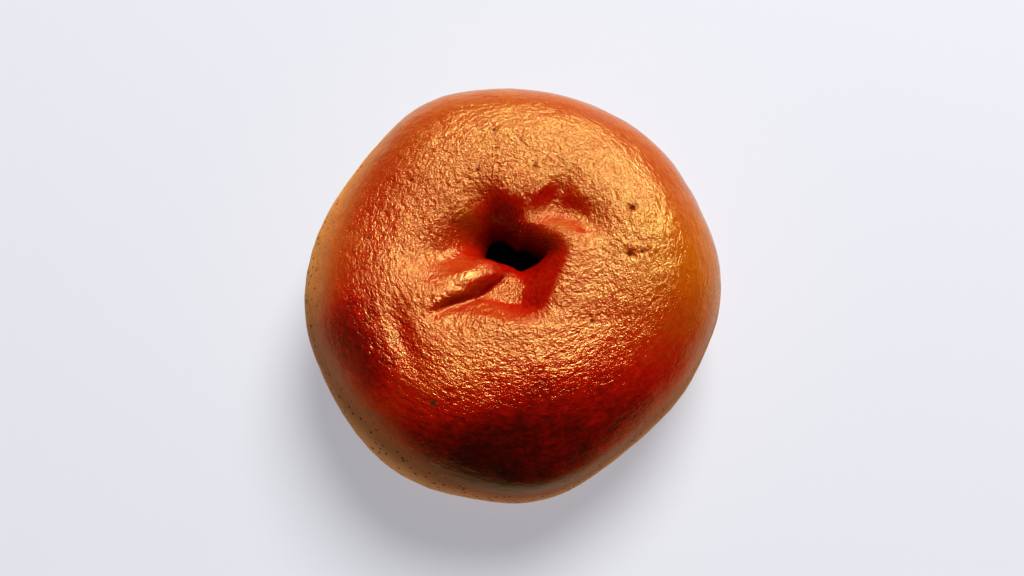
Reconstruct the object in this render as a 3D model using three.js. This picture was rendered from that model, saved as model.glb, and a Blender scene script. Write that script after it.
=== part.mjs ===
// A glossy ring-shaped bun whose centre hole has almost closed as the dough swelled.
// It is one baked piece, so it is one solid: a fat ring with a flat base, a domed top,
// a puckered funnel that draws into a narrow slanted hole, and a funnel beneath.
// Millimetres, +Z up. The origin is the centre of the footprint, on the surface it rests on.

import * as THREE from "three";
import { ParametricGeometry } from "three/addons/geometries/ParametricGeometry.js";

// Driving dimensions.
const OUTER_RADIUS = 50.3; // from the middle of the bun to its widest line
const BELLY_HEIGHT = 19; // height of the widest line above the base
const CROWN_HEIGHT = 41.4; // height of the crest of the ring
const CREST_RADIUS = 26; // from the hole's axis to the crest
const HOLE_OFFSET = new THREE.Vector2(1, 3); // the hole is not quite in the middle
const FOOT_DEPTH = 22.5; // how far the round underside would reach below the belly if it were not flat
const FOOT_BLEND = 3; // rounding where the flank turns into the flat base

// How full each quarter of the ring's section is: 2 is an ellipse, more is squarer.
const FULLNESS = { outerTop: 2.4, innerTop: 4.4, innerBottom: 4, outerBottom: 2.2 };

// Each bump is a direction and a half-width in degrees, and a height.
// Flats and bulges of the outline, mm.
const OUTLINE = [
  { at: 0, spread: 14, by: 1.2 },
  { at: 43, spread: 16, by: 0.8 },
  { at: 116, spread: 16, by: 1.5 },
  { at: 146, spread: 24, by: -2.8 },
  { at: 213, spread: 20, by: -1.2 },
  { at: 235, spread: 28, by: 1.7 },
  { at: 281, spread: 16, by: 2.1 },
  { at: 304, spread: 32, by: -2.5 },
];
const OUTLINE_STRETCH = 0.6; // extra radius along Y, less along X

// The narrowest part of the hole: mean radius, how much longer it is than wide,
// the direction of its long axis, and the folds of dough that press into it, mm.
const HOLE = { radius: 5, oval: 1.3, along: -24 };
const FOLDS = [
  { at: 14, spread: 22, by: -0.6 },
  { at: 346, spread: 14, by: 0.8 },
  { at: 66, spread: 24, by: -0.9 },
  { at: 115, spread: 24, by: 1.6 },
  { at: 190, spread: 20, by: -0.6 },
  { at: 232, spread: 22, by: -0.9 },
  { at: 264, spread: 26, by: -1.8 },
  { at: 312, spread: 28, by: -2.3 },
];
// Where the lip of the funnel is squarer or slacker, added to the section's fullness.
const LIP = [
  { at: 255, spread: 70, by: 2.4 },
  { at: 20, spread: 45, by: 3 },
  { at: 160, spread: 40, by: -1.6 },
  { at: 80, spread: 22, by: -0.8 },
  { at: 212, spread: 26, by: 7 },
];
const TWIST = 14; // degrees that the folds turn between the crest and the hole

// Creases (by < 0) and ridges (by > 0) of the pucker. Each follows a curve in plan, in mm
// from the hole's axis; the third number is the share of the full height there.
const CREASES = [
  { name: "upper right valley", width: 4.4, by: -2.8,
    path: [[2, 6.4, 0.6], [7, 7.6, 1], [12, 7.8, 1], [17, 5.6, 0.7], [21, 2.6, 0]] },
  { name: "left horn", width: 3.6, by: -1.8,
    path: [[-3, 5, 0.5], [-6, 9.5, 1], [-7.4, 13.5, 0.6], [-8.3, 17, 0]] },
  { name: "right horn", width: 3, by: -1.4, path: [[8, 10, 0.6], [11, 13, 1], [13, 17, 0.2]] },
  { name: "left valley", width: 5, by: -3.6,
    path: [[-6, 2, 0.5], [-11.5, 0.2, 1], [-17, -2.2, 0.8], [-24, -5, 0]] },
  { name: "left crease", width: 1.3, by: -1.2,
    path: [[-3.2, -7.4, 0.4], [-8.3, -12, 1], [-15.3, -15.4, 0.8], [-19, -17.6, 0]] },
  { name: "flank fold", width: 2.2, by: -0.8,
    path: [[-27, -13, 0.2], [-26, -19, 1], [-23, -26, 0.8], [-19, -33, 0]] },
  { name: "left tongue", width: 4, by: 1.1, path: [[-5, -5, 0.8], [-10, -8, 1], [-15.5, -10.8, 0.7]] },
  { name: "right lobe", width: 3.4, by: 1.2,
    path: [[4.2, 3, 0.6], [8.5, 3.4, 1], [12.6, 1, 0.8], [12.2, -6, 0.5], [9.4, -13, 0.2]] },
];
// Steps of the pucker: to the right of the curve the skin drops, over `width`, and comes
// back level over `reach`.
const STEPS = [
  { name: "right wall", width: 8, reach: 14, by: -5.4,
    path: [[8.8, 4, 0], [7.2, -1, 0.6], [5.8, -5, 1], [4.8, -10, 1], [4, -14.5, 0.95], [3.2, -17.5, 0.4],
      [2.6, -20, 0]] },
  { name: "tongue's edge", width: 1.3, reach: 6, by: -1.5,
    path: [[-20, -17.2, 0], [-15.3, -14.8, 0.6], [-8.3, -11.4, 1], [-1.8, -6.2, 0.4], [1, -4, 0]] },
];
// Broad soft flats (by < 0) and swells of the crown.
const SWELLS = [
  { x: -36, y: 6, radius: 17, by: -2 },
  { x: -28, y: -27, radius: 15, by: -1 },
  { x: 24, y: -31, radius: 15, by: -0.6 },
  { x: 26, y: -24, radius: 17, by: -2.8 },
  { x: -2, y: -46, radius: 14, by: -2.6 },
  { x: 16, y: -45, radius: 14, by: -2.4 },
  { x: 32, y: 6, radius: 14, by: 0.8 },
];

// Mesh steps round the ring, and across each quarter of its section in turn.
const AROUND = 96;
const ACROSS = { outerTop: 10, innerTop: 24, innerBottom: 7, outerBottom: 9 };

const { degToRad } = THREE.MathUtils;

// The sum of soft bumps, each a bell curve of the direction around the axis.
function bumps(list, angle) {
  return list.reduce((sum, { at, spread, by }) => {
    const off = Math.atan2(Math.sin(angle - degToRad(at)), Math.cos(angle - degToRad(at)));
    return sum + by * Math.exp(-((off / degToRad(spread)) ** 2));
  }, 0);
}

function outlineRadius(angle) {
  return OUTER_RADIUS - OUTLINE_STRETCH * Math.cos(2 * angle) + bumps(OUTLINE, angle);
}

function holeRadius(angle) {
  return HOLE.radius + HOLE.oval * Math.cos(2 * (angle - degToRad(HOLE.along))) + bumps(FOLDS, angle);
}

// Distance from the section's centre to a superellipse of unit half-axes, in direction `turn`.
function fullness(turn, power) {
  return (Math.abs(Math.cos(turn)) ** power + Math.abs(Math.sin(turn)) ** power) ** (-1 / power);
}

// Presses everything below the base flat: zero below -FOOT_BLEND, unchanged above FOOT_BLEND.
function flatten(z) {
  if (z >= FOOT_BLEND) return z;
  if (z <= -FOOT_BLEND) return 0;
  return (z + FOOT_BLEND) ** 2 / (4 * FOOT_BLEND);
}

// Samples a smooth curve through the path's points.
function smoothPath(path) {
  const points = path.map((point) => new THREE.Vector3(...point));
  return new THREE.CatmullRomCurve3(points, false, "catmullrom", 0.5).getPoints(24);
}

// How far (x, y) lies to the right of a sampled path (less than 0 on the left), and the
// path's share of the full height there.
function besidePath(samples, x, y) {
  let near = 0;
  let least = Infinity;
  samples.forEach((point, i) => {
    const far = Math.hypot(x - point.x, y - point.y);
    if (far < least) [near, least] = [i, far];
  });
  const ahead = samples[Math.min(near + 1, samples.length - 1)];
  const behind = samples[Math.max(near - 1, 0)];
  const { x: px, y: py, z: share } = samples[near];
  const side = (x - px) * (ahead.y - behind.y) - (y - py) * (ahead.x - behind.x);
  return { gap: Math.sign(side) * least, share };
}

const creasePaths = CREASES.map(({ path }) => smoothPath(path));
const stepPaths = STEPS.map(({ path }) => smoothPath(path));

// Height that the pucker and the swells add at a place in plan. A crease is a string of
// soft round dents, so it stays smooth where it bends; a step needs its two sides.
function folded(x, y) {
  let sum = 0;
  CREASES.forEach(({ width, by }, i) => {
    const line = creasePaths[i];
    for (let k = 1; k < line.length; k++) {
      const length = Math.hypot(line[k].x - line[k - 1].x, line[k].y - line[k - 1].y);
      const far = Math.hypot(x - (line[k].x + line[k - 1].x) / 2, y - (line[k].y + line[k - 1].y) / 2);
      const share = (line[k].z + line[k - 1].z) / 2;
      sum += ((by * share * length) / (width * Math.sqrt(Math.PI))) * Math.exp(-((far / width) ** 2));
    }
  });
  STEPS.forEach(({ width, reach, by }, i) => {
    const { gap, share } = besidePath(stepPaths[i], x, y);
    const step = 0.5 + 0.5 * Math.tanh((2 * gap) / width);
    sum += by * share * step * Math.exp(-((Math.max(gap, 0) / reach) ** 2));
  });
  for (const { x: cx, y: cy, radius, by } of SWELLS) {
    sum += by * Math.exp(-((Math.hypot(x - cx, y - cy) / radius) ** 2));
  }
  return sum;
}

// Turns v, 0 to 1, into the turn round the section, with the given steps in each quarter.
function turnAt(v) {
  const quarters = Object.values(ACROSS);
  let left = v * quarters.reduce((a, b) => a + b);
  let quarter = 0;
  while (quarter < 3 && left > quarters[quarter]) left -= quarters[quarter++];
  return (Math.PI / 2) * (quarter + left / quarters[quarter]);
}

// The skin: u goes once round the ring, v once round its section, from the belly over
// the crest, down the hole and back along the base.
function skin(u, v, target) {
  const angle = 2 * Math.PI * u;
  const turn = turnAt(v);
  const outside = Math.cos(turn) > 0;
  const above = Math.sin(turn) > 0;
  let power = FULLNESS[(outside ? "outer" : "inner") + (above ? "Top" : "Bottom")];
  if (above && !outside) power += bumps(LIP, angle);
  const reach = outside ? outlineRadius(angle) - CREST_RADIUS : CREST_RADIUS - holeRadius(angle);
  const rise = above ? CROWN_HEIGHT - BELLY_HEIGHT : FOOT_DEPTH;
  const full = fullness(turn, power);
  const radius = CREST_RADIUS + reach * full * Math.cos(turn);
  const inward = (1 - Math.cos(turn)) / 2; // 0 at the belly, 1 in the hole
  const swirl = outside ? 0 : degToRad(TWIST) * Math.cos(turn) ** 2;
  const x = HOLE_OFFSET.x * inward + radius * Math.cos(angle + swirl);
  const y = HOLE_OFFSET.y * inward + radius * Math.sin(angle + swirl);
  const z = flatten(BELLY_HEIGHT + rise * full * Math.sin(turn));
  const upper = 1 / (1 + Math.exp((30 - z) / 1.6)); // the folds fade out down the throat
  target.set(x, y, z + upper * folded(x - HOLE_OFFSET.x, y - HOLE_OFFSET.y));
}

function makeBun() {
  const across = Object.values(ACROSS).reduce((a, b) => a + b);
  const geometry = new ParametricGeometry(skin, AROUND, across);
  geometry.computeBoundingBox();
  const middle = geometry.boundingBox.getCenter(new THREE.Vector3());
  geometry.translate(-middle.x, -middle.y, -geometry.boundingBox.min.z);
  const crust = new THREE.MeshStandardMaterial({ color: 0x9a3a14, roughness: 0.35, metalness: 0 });
  const bun = new THREE.Mesh(geometry, crust);
  bun.name = "bun";
  return bun;
}

const root = new THREE.Group();
root.add(makeBun());

export default root;
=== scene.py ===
# %% [markdown]
# # A glossy ring-shaped bun
# The bun is one baked piece: a rope of dough joined into a ring, boiled, glazed and baked.
# It swelled until its centre hole almost closed, and the dough folded over itself there.
# This lesson builds its outside as one smooth surface, presses the folds and pores into
# it, gives it a crust that wrinkles, browns and shines as a baked one does, and lights it.
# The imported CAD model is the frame: it says where the bun is and how big it is.

import math

import bpy
import numpy as np
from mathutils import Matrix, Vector


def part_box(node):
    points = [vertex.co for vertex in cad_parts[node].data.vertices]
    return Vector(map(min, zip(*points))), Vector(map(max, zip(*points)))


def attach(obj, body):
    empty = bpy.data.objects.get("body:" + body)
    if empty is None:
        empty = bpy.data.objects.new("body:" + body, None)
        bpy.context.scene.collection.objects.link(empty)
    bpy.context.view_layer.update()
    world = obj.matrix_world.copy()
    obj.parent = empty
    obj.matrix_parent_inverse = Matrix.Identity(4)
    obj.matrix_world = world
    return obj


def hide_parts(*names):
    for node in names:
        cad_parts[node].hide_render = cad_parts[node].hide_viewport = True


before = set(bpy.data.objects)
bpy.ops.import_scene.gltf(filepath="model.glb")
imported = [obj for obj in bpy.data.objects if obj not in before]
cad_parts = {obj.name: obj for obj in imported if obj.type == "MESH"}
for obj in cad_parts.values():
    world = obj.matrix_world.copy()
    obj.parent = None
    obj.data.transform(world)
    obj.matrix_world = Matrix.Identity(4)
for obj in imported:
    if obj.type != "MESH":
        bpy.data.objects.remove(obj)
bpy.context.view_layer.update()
low, high = (np.array(corner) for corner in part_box("bun"))
print("the bun's box, mm:", np.round((high - low) * 1000, 1))

# %% [markdown]
# ## The ring of dough
# A real ring bun starts as a rolled rope of dough with its ends pinched together. Cut
# across, the rope is fuller than an ellipse, because gas pushes its skin outwards, and it
# is flat where it lay on the baking sheet. The hand-rolled outline has flats and bulges.
# A torus primitive is round in section and even in outline, so it would have to be pushed
# about a great deal. A formula of two angles gives the section, the outline and the tight
# hole in one go, and it is the formula of the CAD model too, so the two agree.

# %% Sizes of the ring, mm
OUTER_RADIUS = 50.3    # from the middle of the bun to its widest line
BELLY_HEIGHT = 19      # height of the widest line
CROWN_HEIGHT = 41.4    # height of the ring's crest
CREST_RADIUS = 26      # from the middle of the ring to its crest
HOLE_AT = np.array([1, 3])  # the hole is not quite in the middle
FOOT_DEPTH = 22.5      # how far a round underside would reach below the belly
FOOT_BLEND = 3         # rounding where the flank turns into the flat base
STRETCH = 0.6          # extra radius along Y, less along X
TWIST = 14             # degrees that the dough turns between the crest and the hole

# How full each quarter of the section is: 2 is an ellipse, and a higher power is squarer.
FULLNESS = {"shoulder": 2.4, "flank": 2.2, "funnel": 4.4, "foot of the hole": 4.0}

# Each bump is (direction in degrees, half-width in degrees, height in mm).
OUTLINE = [(0, 14, 1.2), (43, 16, 0.8), (116, 16, 1.5), (146, 24, -2.8),
           (213, 20, -1.2), (235, 28, 1.7), (281, 16, 2.1), (304, 32, -2.5)]

# The hole's neck is an oval with folds of dough pressed into it.
HOLE_RADIUS, HOLE_OVAL, HOLE_ALONG = 5.0, 1.3, -24
HOLE_FOLDS = [(14, 22, -0.6), (346, 14, 0.8), (66, 24, -0.9), (115, 24, 1.6), (190, 20, -0.6),
              (232, 22, -0.9), (264, 26, -1.8), (312, 28, -2.3)]

# The lip of the funnel is squarer in some directions and slacker in others.
LIP = [(255, 70, 2.4), (20, 45, 3.0), (160, 40, -1.6), (80, 22, -0.8), (212, 26, 7.0)]
print("before it is fitted, mm:", 2 * OUTER_RADIUS, "across and", CROWN_HEIGHT, "high")


# %% The ring's formula
def bumps(listed, angle):
    """Sum of bell curves of the direction round the axis, height * exp(-(off / width)^2)."""
    total = np.zeros_like(angle)
    for at, spread, by in listed:
        off = np.angle(np.exp(1j * (angle - np.radians(at))))
        total += by * np.exp(-(off / np.radians(spread)) ** 2)
    return total


def ring(angle, turn):
    """The skin as points in mm. `angle` goes round the hole and `turn` round the rope.
    The rope's section is four quarter superellipses, |x/a|^n + |z/b|^n = 1, that meet at
    the belly, the crest, the neck of the hole and the underside. Heights below the base
    are pressed to zero, with a quadratic blend."""
    out, up = np.cos(turn), np.sin(turn)
    outside, above = out > 0, up > 0
    outer_power = np.where(above, FULLNESS["shoulder"], FULLNESS["flank"])
    funnel_power = FULLNESS["funnel"] + bumps(LIP, angle)
    inner_power = np.where(above, funnel_power, FULLNESS["foot of the hole"])
    power = np.where(outside, outer_power, inner_power)
    full = (np.abs(out) ** power + np.abs(up) ** power) ** (-1 / power)
    outline = OUTER_RADIUS - STRETCH * np.cos(2 * angle) + bumps(OUTLINE, angle)
    neck = HOLE_RADIUS + HOLE_OVAL * np.cos(2 * (angle - np.radians(HOLE_ALONG)))
    neck += bumps(HOLE_FOLDS, angle)
    reach = np.where(outside, outline - CREST_RADIUS, CREST_RADIUS - neck)
    rise = np.where(above, CROWN_HEIGHT - BELLY_HEIGHT, FOOT_DEPTH)
    radius = CREST_RADIUS + reach * full * out
    z = BELLY_HEIGHT + rise * full * up
    z = np.where(z > FOOT_BLEND, z, np.clip(z + FOOT_BLEND, 0, None) ** 2 / (4 * FOOT_BLEND))
    inward = (1 - out) / 2
    swirl = np.where(outside, 0, np.radians(TWIST) * out ** 2)
    x = HOLE_AT[0] * inward + radius * np.cos(angle + swirl)
    y = HOLE_AT[1] * inward + radius * np.sin(angle + swirl)
    return np.stack([x, y, z], axis=-1)


# %% The grid
AROUND = 560  # steps round the hole
ACROSS = 178  # steps round the rope
CLOSENESS = {"funnel": 6.0, "crown": 2.4, "underside": 0.8}  # of the steps round the rope


def spread_turns(count):
    """Turns spaced evenly along the section's length times its closeness: closest in the
    funnel, where the folds are, and widest apart on the plain underside."""
    fine = np.linspace(0, 2 * np.pi, 4001)
    step = np.linalg.norm(np.diff(ring(np.zeros_like(fine), fine), axis=0), axis=1)
    middle = (fine[1:] + fine[:-1]) / 2
    funnel = (np.cos(middle) < -0.2) & (np.sin(middle) > -0.2)
    weight = np.where(np.sin(middle) > -0.3, CLOSENESS["crown"], CLOSENESS["underside"])
    weight = np.where(funnel, CLOSENESS["funnel"], weight)
    length = np.concatenate([[0], np.cumsum(step * weight)])
    return np.interp(np.arange(count) / count * length[-1], length, fine)


angles = np.arange(AROUND) / AROUND * 2 * np.pi
angle, turn = np.meshgrid(angles, spread_turns(ACROSS), indexing="ij")
skin = ring(angle, turn)
plan = skin[..., :2] - HOLE_AT        # in plan, mm from the hole's axis
throat_height = skin[..., 2].copy()   # heights before any fold, to tell how deep a place is
print("ring, mm:", np.round(skin.max((0, 1)) - skin.min((0, 1)), 1), "points:", skin[..., 0].size)

# %% [markdown]
# ## The pucker
# When the ring swells, its inside has nowhere to go, so the dough round the hole folds.
# Some folds are creases and rounded ridges; others are steps, where one lobe of dough
# has slid over the next. They could be sculpted by hand. Here each one is a short curve
# seen from above, with its share of the full height at every point, because that is how
# one would describe it in words. The skin is moved only up and down, so a fold stays
# where its curve was drawn.


# %% Creases, ridges and steps
def curve_through(points, count=60):
    """A smooth curve through a few points: a Catmull-Rom spline, evenly in its parameter.
    At each point it heads the way that leads from the point before to the one after."""
    knots = np.array(points, float)
    knots = np.vstack([2 * knots[0] - knots[1], knots, 2 * knots[-1] - knots[-2]])
    along = np.linspace(0, len(points) - 1.0001, count)
    span = along.astype(int)
    share = (along - span)[:, None]
    before, start, end, after = (knots[span + shift] for shift in range(4))
    bend = (2 * before - 5 * start + 4 * end - after) * share ** 2
    bend += (3 * start - before - 3 * end + after) * share ** 3
    return 0.5 * (2 * start + (end - before) * share + bend)


def crease(width, height, points):
    """A ridge (height > 0) or a crease (height < 0): soft round dents strung along a
    curve, the sum of height * share * exp(-(gap / width)^2) * step / (width * sqrt(pi))."""
    line = curve_through(points)
    step = np.linalg.norm(np.gradient(line[:, :2], axis=0), axis=1)
    gap = np.linalg.norm(plan[..., None, :] - line[:, :2], axis=-1)
    dents = line[:, 2] * step * np.exp(-(gap / width) ** 2)
    return height * dents.sum(-1) / (width * math.sqrt(math.pi))


def step_along(width, reach, height, points):
    """A step. With `gap` the distance to the right of the curve, the skin is moved by
    height * share * (1 + tanh(2 * gap / width)) / 2, dying away as exp(-(gap / reach)^2)."""
    line = curve_through(points)
    ahead = np.gradient(line[:, :2], axis=0)
    gap = plan[..., None, :] - line[:, :2]
    near = np.linalg.norm(gap, axis=-1).argmin(-1)
    gap = np.take_along_axis(gap, near[..., None, None], -2)[..., 0, :]
    side = gap[..., 0] * ahead[near, 1] - gap[..., 1] * ahead[near, 0]
    gap = np.sign(side) * np.linalg.norm(gap, axis=-1)
    share = line[near, 2] * (1 + np.tanh(2 * gap / width)) / 2
    return height * share * np.exp(-(np.clip(gap, 0, None) / reach) ** 2)


# %% The folds of this bun
# name: (width, height, points). Each point is (x, y, share of the height), with x and y
# in mm from the hole's axis.
CREASES = {
    "upper right valley": (4.4, -2.8, [(2, 6.4, .6), (7, 7.6, 1), (12, 7.8, 1), (17, 5.6, .7),
                                       (21, 2.6, 0)]),
    "left horn": (3.6, -1.8, [(-3, 5, .5), (-6, 9.5, 1), (-7.4, 13.5, .6), (-8.3, 17, 0)]),
    "right horn": (3.0, -1.4, [(8, 10, .6), (11, 13, 1), (13, 17, .2)]),
    "left valley": (5.0, -3.6, [(-6, 2, .5), (-11.5, 0.2, 1), (-17, -2.2, .8), (-24, -5, 0)]),
    "left crease": (1.3, -1.2, [(-3.2, -7.4, .4), (-8.3, -12, 1), (-15.3, -15.4, .8), (-19, -17.6, 0)]),
    "flank fold": (2.2, -0.8, [(-27, -13, .2), (-26, -19, 1), (-23, -26, .8), (-19, -33, 0)]),
    "left tongue": (4.0, 1.1, [(-5, -5, .8), (-10, -8, 1), (-15.5, -10.8, .7)]),
    "right lobe": (3.4, 1.2, [(4.2, 3, .6), (8.5, 3.4, 1), (12.6, 1, .8), (12.2, -6, .5),
                              (9.4, -13, .2)]),
}

# name: (width, reach, height, points)
STEPS = {
    "right wall": (8.0, 14, -5.4, [(8.8, 4, 0), (7.2, -1, .6), (5.8, -5, 1), (4.8, -10, 1),
                                   (4, -14.5, .95), (3.2, -17.5, .4), (2.6, -20, 0)]),
    "tongue's edge": (1.3, 6, -1.5, [(-20, -17.2, 0), (-15.3, -14.8, .6), (-8.3, -11.4, 1),
                                     (-1.8, -6.2, .4), (1, -4, 0)]),
}

# Broad soft flats and swells of the crown: (x, y, radius, height), x and y as above
SWELLS = [(-36, 6, 17, -2), (-28, -27, 15, -1), (24, -31, 15, -.6), (26, -24, 17, -2.8),
          (-2, -46, 14, -2.6), (16, -45, 14, -2.4), (32, 6, 14, .8)]
print("creases and ridges:", len(CREASES), "steps:", len(STEPS), "swells:", len(SWELLS))

# %% Press the folds into the skin
FOLDS_END = 30    # height in mm, down the throat, where the folds are half gone
FOLDS_FADE = 1.6  # how softly they go, mm

tight = np.zeros(skin.shape[:2])  # how sharp a crease is: its depth over its width
lift = np.zeros(skin.shape[:2])
for width, height, points in CREASES.values():
    added = crease(width, height, points)
    lift += added
    tight = np.maximum(tight, -added / width)
for width, reach, height, points in STEPS.values():
    lift += step_along(width, reach, height, points)
for x, y, radius, height in SWELLS:
    lift += height * np.exp(-(np.hypot(plan[..., 0] - x, plan[..., 1] - y) / radius) ** 2)
upper = 1 / (1 + np.exp((FOLDS_END - skin[..., 2]) / FOLDS_FADE))
skin[..., 2] += lift * upper
print("deepest fold, mm:", round(float((lift * upper).min()), 1))

# %% [markdown]
# ## Uneven skin and pores
# No hand-rolled dough is even. Gas cells make it swell by a few tenths of a millimetre,
# over 2 to 13 mm. A few larger gas bubbles open at the skin in the oven and stay as
# pores, 0.6 to 1.2 mm wide. A bump in the material would only shade them. Smooth noise
# made here with numpy moves the mesh itself, so the unevenness is real shape and shows
# at the edge of the bun too.


# %% Helpers for the uneven skin
def between(values, start, end):
    """0 up to `start`, 1 from `end` on, and even between: (value - start) / (end - start)."""
    return np.clip((values - start) / (end - start), 0, 1)


def ease(share):
    """Smooth step: 3 s^2 - 2 s^3, for s from 0 to 1."""
    return share ** 2 * (3 - 2 * share)


def normals(grid):
    """Outward unit normals: the cross product of the grid's two directions."""
    around = np.roll(grid, -1, 0) - np.roll(grid, 1, 0)
    across = np.roll(grid, -1, 1) - np.roll(grid, 1, 1)
    outward = np.cross(around, across)
    return outward / np.linalg.norm(outward, axis=-1, keepdims=True)


def soft_noise(points, size, seed):
    """Smooth random heights from -1 to 1: random values on a cubic lattice, `size` mm
    apart, blended between neighbours with a smooth step."""
    values = np.random.default_rng(seed).uniform(-1, 1, (32, 32, 32))
    cell = np.floor(points / size).astype(int)
    share = ease(points / size - cell)
    total = np.zeros(points.shape[:-1])
    for corner in np.ndindex(2, 2, 2):
        weight = np.where(corner, share, 1 - share).prod(-1)
        total += weight * values[tuple(np.moveaxis((cell + corner) % 32, -1, 0))]
    return total


# %% Swellings and pores
UNEVENNESS = [(13, 0.30), (5, 0.13), (2.1, 0.06)]  # size and height of the swellings, mm

# Pores: x and y in mm from the hole's axis, rough height, and radius
PORES = [(26.7, 8.1, 41, .6), (26.3, -3, 41, .6), (28.8, -2.5, 41, .35), (-17.7, -37.2, 36, .6),
         (17, -18, 40.5, .4), (4.7, 18.8, 41, .3), (-8.4, 18, 41, .35), (-23.8, 15.4, 40, .3),
         (-4.7, 28.8, 40, .35), (-8.1, -52.8, 14, .5), (30.1, -38.7, 14, .5), (-32.8, 1.7, 35, .35)]
PIT_DEPTH = 1.4     # times the pore's radius
PIT_ROUNDING = 0.1  # mm added to the pit's radius, so that the mesh can follow it

rough = sum(by * soft_noise(skin, size, seed) for seed, (size, by) in enumerate(UNEVENNESS, start=1))
rough *= between(skin[..., 2], 1, 6)  # the base stays flat
pore_spots = []  # the point of the grid at the middle of each pore
for x, y, z, size in PORES:
    sideways = np.hypot(plan[..., 0] - x, plan[..., 1] - y)
    away = np.hypot(sideways, 0.3 * (skin[..., 2] - z))  # tells the crown from the underside
    pore_spots.append(np.unravel_index(away.argmin(), away.shape))
    rough -= PIT_DEPTH * size * np.exp(-(away / (size + PIT_ROUNDING)) ** 2)
skin = skin + normals(skin) * rough[..., None]
print("unevenness, mm:", round(float(rough.min()), 2), "to", round(float(rough.max()), 2))

# %% [markdown]
# ## The mesh
# The bun's skin closes on itself both round the hole and round the rope, so every face of
# the grid has four neighbours and there is no seam to sew. It could be joined from several
# patches, but a grid needs none. It is scaled to the CAD's own box, so that the visual
# model and the frame agree to a hundredth of a millimetre.


# %% Make the mesh
def tube_mesh(name, grid):
    """Quads between neighbours of a grid that closes on itself both ways."""
    around, across = grid.shape[:2]
    index = np.arange(around * across).reshape(around, across)
    ahead, up = np.roll(index, -1, 0), np.roll(index, -1, 1)
    quads = np.stack([index, ahead, np.roll(ahead, -1, 1), up], -1).reshape(-1, 4)
    mesh = bpy.data.meshes.new(name)
    mesh.from_pydata(grid.reshape(-1, 3), [], quads)
    mesh.polygons.foreach_set("use_smooth", np.ones(len(quads), bool))
    mesh.update()
    return mesh


own_low, own_high = skin.min((0, 1)), skin.max((0, 1))
fitted = low + (skin - own_low) / (own_high - own_low) * (high - low)
mesh = tube_mesh("baked_bun", fitted)
bun = bpy.data.objects.new("baked_bun", mesh)
bpy.context.scene.collection.objects.link(bun)
print("faces:", len(mesh.polygons), "scaled by", np.round((high - low) * 1000 / (own_high - own_low), 4))

# %% [markdown]
# ## Where the crust is dark
# A crust browns with heat: gold, amber, red-brown, then maroon. The same numbers also
# carry painted shade and painted light. The near side is darkest, partly a darker bake and
# partly painted shade; the far side, towards the window, is amber, partly a lighter bake
# and partly painted light. It is lighter towards the rim, most on the left. A patch on the
# left and the near flank carry painted shade, and some lobes painted light. The steep walls
# of the folds and the tight creases are deep red, and down the throat it is nearly black:
# all painted shade. This could be painted on the mesh by hand, but it follows the bun's
# form, so it is worked out from the shape: one number per point, more where the crust is
# darker.


# %% Helpers for the maps
def spot(x, y, radius):
    """A soft round patch in plan, exp(-(gap / radius)^2), mm from the middle of the bun."""
    return np.exp(-(np.hypot(skin[..., 0] - x, skin[..., 1] - y) / radius) ** 2)


def spots(listed):
    """Sum of soft patches, change * exp(-(gap / radius)^2), each (x, y, radius, change)."""
    return sum(change * spot(x, y, radius) for x, y, radius, change in listed)


x, y, z = np.moveaxis(skin, -1, 0)
from_middle = np.hypot(x, y)
from_axis = np.hypot(plan[..., 0], plan[..., 1])
print("farthest from the middle, mm:", round(float(from_middle.max()), 1))

# %% The smooth walls of the folds
# The walls are the steep places of the pucker: 1 is a wall, 0 is open crown.
pucker = between(np.hypot(plan[..., 0] - 4.5, plan[..., 1]), 18, 14)
walls = between(normals(skin)[..., 2], 0.97, 0.90) * pucker
walls *= (1 - spot(11, 7, 5.5)) * (1 - spot(-9, -3, 5))  # the right lobe and the left tongue
print("share of the points on the folds' walls:", round(float((walls > 0.5).mean()), 3))

# %% Browning, painted shade and painted light
# Painted shade: the steep walls of the folds, the crease floors and the throat are made darker.
CROWN = 0.63         # browning of the middle of the crown
FOLD_WALL_SHADE = 0.72
CREASE_FLOOR_SHADE = 0.62  # and more, the tighter the crease
THROAT_SHADE = 1.4          # nearly black

# Patches of painted shade, which are darker, and of painted light, which are lighter: (x, y, radius,
# change)
SHADE_ON_THE_LEFT = [(-40, -16, 8, 0.24), (-37, -28, 10, 0.16)]
# Near flank: two patches of painted shade and one lighter patch of painted light.
SHADE_AND_LIGHT_ON_THE_FLANK = [(-32, -26, 9, 0.14), (-4, -45, 15, 0.10), (-8, -30, 9, -0.08)]
# Painted light and painted highlights on the lobes, the tongue, the funnel's left wall and the right side.
PAINTED_LIGHT_PATCHES = [(-4, -13.5, 6, -0.04), (-10, 9, 4.5, -0.10), (41, -1, 16, -0.20),
                (12, 8.5, 3.5, -0.12), (-11, -3, 4, -0.05)]

# Darker on the near side, partly a darker bake and partly painted shade; lighter towards the window, partly
# a lighter bake and partly painted light; lighter towards the rim, most on the left.
near_side = ease(between(0.004 * x - y / 50, 0.40, 0.90))
brown_and_shade = CROWN - 0.17 * np.clip((0.35 * x + 0.94 * y) / 50, 0, None) + 0.19 * near_side
rim = between(from_middle, 32, 44) * (1 - near_side)
brown_and_shade -= rim * (0.04 + 0.10 * between(x, 15, -35))
# Painted shade on a patch on the left shoulder, where the bun faces away from the light.
left_shade = spots(SHADE_ON_THE_LEFT)
brown_and_shade += left_shade + spots(SHADE_AND_LIGHT_ON_THE_FLANK)
# Painted shade on the folds' steep walls, then on the crease floors, darker the tighter the crease.
brown_and_shade += (FOLD_WALL_SHADE - brown_and_shade) * 0.85 * walls
brown_and_shade += (CREASE_FLOOR_SHADE + 0.16 * tight - brown_and_shade) * 0.9 * between(tight, 0.44, 0.64)
brown_and_shade += spots(PAINTED_LIGHT_PATCHES)
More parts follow.
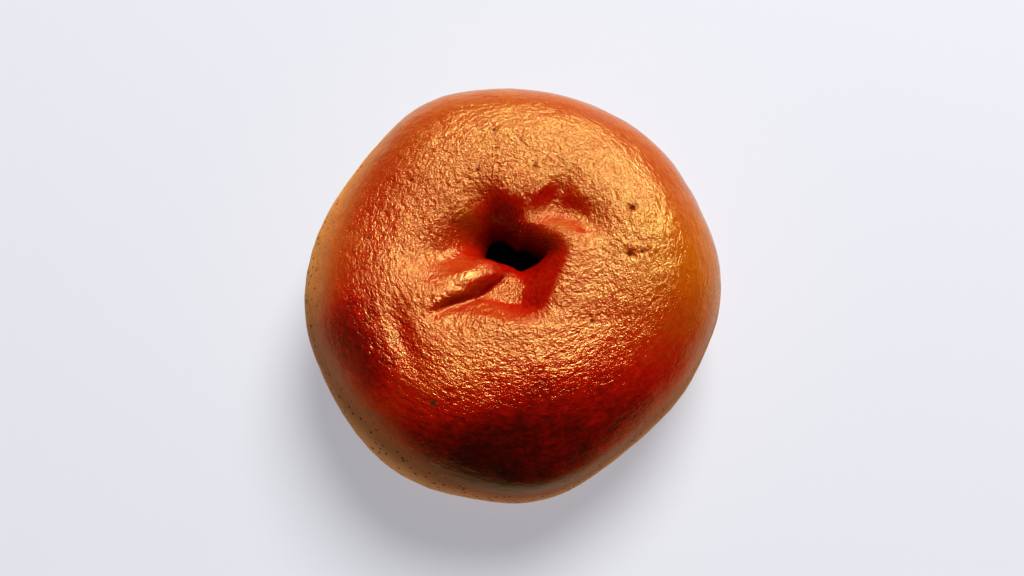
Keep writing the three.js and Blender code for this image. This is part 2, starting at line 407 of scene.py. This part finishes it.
# Painted shade down the throat, to nearly black.
throat = between(throat_height, 31, 24) * (from_axis < 20)
brown_and_shade += (THROAT_SHADE - brown_and_shade) * throat ** 1.5
print("browning:", round(float(brown_and_shade.min()), 2), "to", round(float(brown_and_shade.max()), 2))

# %% [markdown]
# ## Where it is pale and where it is wrinkled
# Low on the flank the heat was least, so the crust there is tan and dull. Its tan is also
# a painted reflection of the pale floor, which the flank mirrors at a low angle. The pale
# band reaches highest on the left, and least high at the far right and the near side. On
# the crown the skin has dried into fine wrinkles, while in the folds it is drawn smooth.
# Two more numbers per point say so. All three are stored on the mesh, where a material can
# read them; a pattern of its own would know nothing of the bun's form.

# %% Paleness and wrinkling
PALE_BAND = 17  # mm of height over which the crust turns from glossy to tan

top = 35 + 5 * between(x, 0, -40) - 5 * between(x + y, 0, 60)
top -= 4.5 * between(y, 0, -50) * between(x, -35, 0) * between(x, 56, 16)
pale = ease(between(z, top, top - PALE_BAND)) * (1 - np.clip(2.6 * left_shade, 0, 1))
pale *= np.where(np.cos(turn) < 0, between(z, 8, 2), 1)  # inside the hole, only at its foot
brown_and_shade -= 0.55 * pale  # on its way to tan the crust is red-brown, then amber

CALM = [(27, -27, 20, 0.3), (2, -42, 14, 0.5), (-10, -3, 7, 0.55), (16, -4, 8, 0.25)]
wrinkled = (1 - 0.7 * walls) * (1 - 0.5 * between(from_middle, 34, 44)) * (1 - spots(CALM))

for name, values in (("browning_and_shade", brown_and_shade), ("paleness", pale), ("wrinkled", wrinkled)):
    layer = mesh.attributes.new(name, "FLOAT", "POINT")
    layer.data.foreach_set("value", values.ravel().astype(np.float32))
    print(name, round(float(values.min()), 2), "to", round(float(values.max()), 2))

# %% [markdown]
# ## Mixing a finish
# In Blender a finish is a tree of nodes: patterns feed a ramp of colours, and the ramp
# feeds a shader. The nodes could be placed one by one in the editor. Here one small
# function adds a node, sets it and links it, so that each line reads as one ingredient.
# The patterns are read from the place on the bun, so they are as large as the real ones.


# %% Helpers for the materials
def linear(hex_colour):
    """sRGB hex to linear RGBA: c / 12.92 when dark, else ((c + 0.055) / 1.055)^2.4."""
    parts = [int(hex_colour[i:i + 2], 16) / 255 for i in (1, 3, 5)]
    return [c / 12.92 if c <= 0.04045 else ((c + 0.055) / 1.055) ** 2.4 for c in parts] + [1]


def add(tree, kind, sockets=None, **settings):
    """Adds one node. `settings` are its properties. `sockets` are its inputs, by name or
    by number: each is a value to set, or another node's output to link."""
    node = tree.nodes.new("ShaderNode" + kind)
    for name, value in settings.items():
        setattr(node, name, value)
    for key, value in (sockets or {}).items():
        if isinstance(value, bpy.types.NodeSocket):
            tree.links.new(value, node.inputs[key])
        else:
            node.inputs[key].default_value = value
    return node


def scale_for(size):
    """The scale of a pattern whose features are `size` mm: one over the size in metres."""
    return 1000 / size


# %% [markdown]
# ## The crust
# The dough is dipped in boiling sweetened water before it is baked. Its starch swells
# into a thin clear skin that browns and shines, so the crust is a dark warm colour seen
# under a gloss. Light that glances off comes back gold, because the skin itself is
# stained. The wrinkles break that shine into bright plates with dark lines between them.
# A single glossy shader with a browning ramp does this; a separate clear layer would
# give a white shine, which a stained skin does not have.

# %% Patterns of the crust
WRINKLE_SIZE = 1.1  # mm from one wrinkle to the next
BLISTER_SIZE = 0.42

crust = bpy.data.materials.new("boiled_and_baked_crust")
crust.use_nodes = True
tree = crust.node_tree
place = add(tree, "TexCoord").outputs["Object"]

# Wrinkles run round the ring: the noise is read by distance from the axis, height and a
# direction that is scaled down, so its features are longer that way.
TO_AXIS = (-HOLE_AT[0] / 1000, -HOLE_AT[1] / 1000, 0)
READ_RADIUS = 0.018  # metres: the ring's radius as the noise sees it
flat = add(tree, "VectorMath", {0: place, 1: (1, 1, 0), 2: TO_AXIS}, operation="MULTIPLY_ADD").outputs[0]
direction = add(tree, "VectorMath", {0: flat}, operation="NORMALIZE").outputs[0]
along_ring = add(tree, "VectorMath", {0: direction, 1: (READ_RADIUS, READ_RADIUS, 0)},
                 operation="MULTIPLY").outputs[0]
off_axis = add(tree, "VectorMath", {0: flat}, operation="LENGTH").outputs["Value"]
outward = add(tree, "CombineXYZ", {"Z": off_axis}).outputs[0]
rings = add(tree, "VectorMath", {0: along_ring, 1: outward}, operation="ADD").outputs[0]
height = add(tree, "SeparateXYZ", {0: place}).outputs["Z"]
wrinkle = add(tree, "TexNoise", {"Vector": rings, "W": height, "Scale": scale_for(WRINKLE_SIZE),
                                 "Detail": 3.0, "Roughness": 0.6}, noise_dimensions="4D").outputs["Fac"]
blister = add(tree, "TexNoise", {"Vector": place, "Scale": scale_for(BLISTER_SIZE),
                                 "Detail": 2.0, "Roughness": 0.6}).outputs["Fac"]
print("wrinkles every", WRINKLE_SIZE, "mm, blisters every", BLISTER_SIZE, "mm")

# %% Colour of the crust
# The darkest steps, from maroon to nearly black, mostly carry painted shade.
BROWN_AND_SHADE_RAMP = [(0.10, "#c48428"), (0.30, "#b4640c"), (0.45, "#aa4e08"), (0.60, "#a83408"),
            (0.70, "#a41804"), (0.80, "#7e0b04"), (0.90, "#540704"), (1.0, "#340505"),
            (1.4, "#020101")]
MOST = BROWN_AND_SHADE_RAMP[-1][0]
TAN = "#f6a866"  # crust that the heat hardly reached, lightened as a painted reflection of the floor

amount = add(tree, "Attribute", attribute_name="browning_and_shade").outputs["Fac"]
patches = add(tree, "TexNoise", {"Vector": place, "Scale": scale_for(6), "Detail": 3.0}).outputs["Fac"]
grain = add(tree, "TexNoise", {"Vector": place, "Scale": scale_for(1.1), "Detail": 2.0}).outputs["Fac"]
# The last one is turned round: painted shade in the wrinkles' floors and painted light on their crests.
for noise, share in ((patches, 0.16), (grain, 0.14), (wrinkle, -0.25)):
    shift = add(tree, "Math", {0: noise, 1: share, 2: -share / 2}, operation="MULTIPLY_ADD").outputs[0]
    amount = add(tree, "Math", {0: amount, 1: shift}, operation="ADD").outputs[0]
amount = add(tree, "Math", {0: amount, 1: MOST}, operation="DIVIDE").outputs[0]
ramp = add(tree, "ValToRGB", {"Fac": amount})
for number, (at, colour) in enumerate(BROWN_AND_SHADE_RAMP):
    stop = ramp.color_ramp.elements[number] if number < 2 else ramp.color_ramp.elements.new(1)
    stop.position = at / MOST
    stop.color = linear(colour)
dull = add(tree, "Attribute", attribute_name="paleness").outputs["Fac"]
tone = add(tree, "Mix", {0: dull, 6: ramp.outputs["Color"], 7: linear(TAN)}, data_type="RGBA").outputs[2]
print("browning steps:", len(BROWN_AND_SHADE_RAMP))

# %% [markdown]
# ## Pinholes and pores
# Where the crust stayed pale, the tiny holes of the crumb show as dark specks, up to half
# a millimetre wide, one to every few square millimetres: painted shade in holes too small
# for the mesh. There are hundreds and only their size and spacing matter, so a cell pattern
# makes them, dark near each cell's centre. On the glossy crust only the larger pores show.
# Each of those is a pit in the mesh, with a dark dot of painted shade round the point of
# the mesh where its pit was pressed.

# %% Specks and pores
PORE_SHADE = "#5e0c03"  # painted shade in the pits
SPECK_CELLS = scale_for(1.6)

cells = add(tree, "TexVoronoi", {"Vector": place, "Scale": SPECK_CELLS}).outputs["Distance"]
speck = add(tree, "MapRange", {"Value": cells, "From Min": 0.14, "From Max": 0.28, "To Min": 1.0,
                               "To Max": 0.0}).outputs[0]
where = add(tree, "MapRange", {"Value": dull, "From Min": 0.1, "From Max": 0.4, "To Max": 0.95}).outputs[0]
speck = add(tree, "Math", {0: speck, 1: where}, operation="MULTIPLY").outputs[0]
for (*_, size), at in zip(PORES, pore_spots):
    radius = size / 1000
    centre = tuple(float(part) for part in fitted[at])
    gap = add(tree, "VectorMath", {0: place, 1: centre}, operation="DISTANCE").outputs["Value"]
    dot = add(tree, "MapRange", {"Value": gap, "From Min": 0.9 * radius, "From Max": 1.5 * radius,
                                 "To Min": 1.0, "To Max": 0.0}).outputs[0]
    speck = add(tree, "Math", {0: speck, 1: dot}, operation="MAXIMUM").outputs[0]
tone = add(tree, "Mix", {0: speck, 6: tone, 7: linear(PORE_SHADE)}, data_type="RGBA").outputs[2]
print("pores:", len(PORES))

# %% [markdown]
# ## Shine and wrinkles
# The glazed skin is nearly as smooth as syrup, and the pale crust is dull. Drying has
# wrinkled the skin by some tenths of a millimetre, with finer blisters on the wrinkles.
# Wrinkles in the mesh would take millions of faces, so they are bumps in the shader,
# which only bend the light. They are weaker in the folds and towards the rim.

# %% Shine and relief of the crust
GLAZED, BARE = 0.11, 0.7   # roughness of the glazed skin and of the pale crust
WRINKLE_DEPTH = 0.00056    # metres
BLISTER_DEPTH = 0.00018

shader = tree.nodes["Principled BSDF"]
shader.inputs["IOR"].default_value = 1.5                 # dried sugar and starch
shader.inputs["Specular IOR Level"].default_value = 1.0  # a syrupy skin shines more than plain starch
shader.inputs["Specular Tint"].default_value = (0.96, 0.97, 0.38, 1)  # the stained skin's gold
tree.links.new(tone, shader.inputs["Base Color"])
gloss = add(tree, "MapRange", {"Value": dull, "From Max": 0.4, "To Min": GLAZED, "To Max": BARE}).outputs[0]
gloss = add(tree, "Math", {0: gloss, 1: speck}, operation="MAXIMUM").outputs[0]
tree.links.new(gloss, shader.inputs["Roughness"])
strength = add(tree, "Attribute", attribute_name="wrinkled").outputs["Fac"]
relief = add(tree, "Bump", {"Height": blister, "Strength": strength, "Distance": BLISTER_DEPTH}).outputs[0]
relief = add(tree, "Bump", {"Height": wrinkle, "Strength": strength, "Distance": WRINKLE_DEPTH,
                            "Normal": relief}).outputs[0]
tree.links.new(relief, shader.inputs["Normal"])
mesh.materials.append(crust)
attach(bun, "root")
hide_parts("bun")
print("materials:", [material.name for material in mesh.materials])

# %% [markdown]
# ## The floor
# A smooth pale board, matte, so that it only catches the bun's soft shadow. A plain white
# board would do, but its light on the bun's flanks would be weak. Bright boards light the
# flanks of what stands on them, so this one also glows a little, though it is no lamp: that
# glow is painted light. It stops under the bun, which leaves a painted shadow round its foot.

# %% Make the floor
FLOOR_HALF = 2.0                     # metres
PAINTED_SHADOW_WITHIN, LIT_FROM = 0.03, 0.046  # metres from the middle of the bun

corners = [(-FLOOR_HALF, -FLOOR_HALF, 0), (FLOOR_HALF, -FLOOR_HALF, 0),
           (FLOOR_HALF, FLOOR_HALF, 0), (-FLOOR_HALF, FLOOR_HALF, 0)]
floor_mesh = bpy.data.meshes.new("floor")
floor_mesh.from_pydata(corners, [], [(0, 1, 2, 3)])
floor = bpy.data.objects.new("floor", floor_mesh)
bpy.context.scene.collection.objects.link(floor)

board = bpy.data.materials.new("matte_white_board")
board.use_nodes = True
tree = board.node_tree
shader = tree.nodes["Principled BSDF"]
shader.inputs["Base Color"].default_value = linear("#8e8e90")
# Painted light: the board glows this colour, though it is no lamp.
shader.inputs["Emission Color"].default_value = linear("#f4f6ff")
shader.inputs["Specular IOR Level"].default_value = 0.2
shader.inputs["Roughness"].default_value = 0.8
spread = add(tree, "TexCoord").outputs["Object"]
far_out = add(tree, "VectorMath", {0: spread}, operation="LENGTH").outputs["Value"]
# Painted shadow under the bun, where the glow stops; painted light beyond it.
painted_glow = add(tree, "MapRange", {"Value": far_out, "From Min": PAINTED_SHADOW_WITHIN, "From Max": LIT_FROM,
                              "To Max": 0.44}).outputs[0]
tree.links.new(painted_glow, shader.inputs["Emission Strength"])
floor_mesh.materials.append(board)
print("floor, m:", 2 * FLOOR_HALF)

# %% [markdown]
# ## The light
# One large soft window stands behind the bun and a little to its right, over halfway up
# the sky. The crown mirrors it as a broad gold patch, and each wrinkle catches its own
# piece. Several small lamps would each leave a hard white dot. The wall round the window
# is lit too; the rest of the room is dark, which is what turns the near shoulder of a
# glossy crust deep red.


# %% Lamp and room
def softbox(name, azimuth, elevation, distance, size, strength):
    """A round soft lamp that faces the bun. Azimuth 0 is behind it (+Y), 90 its right.
    Its power is strength * size^2 * pi, so its brightness does not change with its size."""
    azimuth, elevation = math.radians(azimuth), math.radians(elevation)
    level = math.cos(elevation)
    away = Vector((math.sin(azimuth) * level, math.cos(azimuth) * level, math.sin(elevation)))
    lamp = bpy.data.lights.new(name, "AREA")
    lamp.shape = "DISK"
    lamp.size = size
    lamp.energy = strength * size ** 2 * math.pi
    thing = bpy.data.objects.new(name, lamp)
    thing.location = away * distance
    thing.rotation_euler = away.to_track_quat("Z", "Y").to_euler()
    bpy.context.scene.collection.objects.link(thing)
    return away


window = softbox("window", 22, 55, 1.5, 0.9, 13.8)

world = bpy.data.worlds.new("dim_room")
world.use_nodes = True
tree = world.node_tree
view = add(tree, "TexCoord").outputs["Generated"]
toward = add(tree, "VectorMath", {0: view, 1: window}, operation="DOT_PRODUCT").outputs["Value"]
wall = add(tree, "MapRange", {"Value": toward, "From Min": 0.88, "From Max": 0.97, "To Min": 0.07,
                              "To Max": 0.75}).outputs[0]
tree.links.new(wall, tree.nodes["Background"].inputs["Strength"])
tree.nodes["Background"].inputs["Color"].default_value = linear("#ffffff")
bpy.context.scene.world = world
bpy.context.scene.view_settings.view_transform = "Standard"
bpy.context.scene.view_settings.look = "High Contrast"
bpy.context.scene.view_settings.exposure = -0.4
print("window towards", np.round(window, 2))

# %% [markdown]
# ## The camera
# It looks steeply down from the near side, as one looks at food on a table. A view from
# straight above would hide the near flank, and a low one would hide the hole.

# %% Set the camera
CAMERA_ELEVATION = math.radians(69.5)
CAMERA_DISTANCE = 0.26  # metres
AIM = Vector((-0.0004, 0.0001, 0.020))  # about half the bun's height above the floor
back = Vector((0, -math.cos(CAMERA_ELEVATION), math.sin(CAMERA_ELEVATION)))
lens = bpy.data.cameras.new("camera")
lens.lens = 37.6
camera = bpy.data.objects.new("camera", lens)
camera.location = AIM + back * CAMERA_DISTANCE
camera.rotation_euler = back.to_track_quat("Z", "Y").to_euler()
bpy.context.scene.collection.objects.link(camera)
bpy.context.scene.camera = camera
print("camera at", np.round(camera.location, 3))
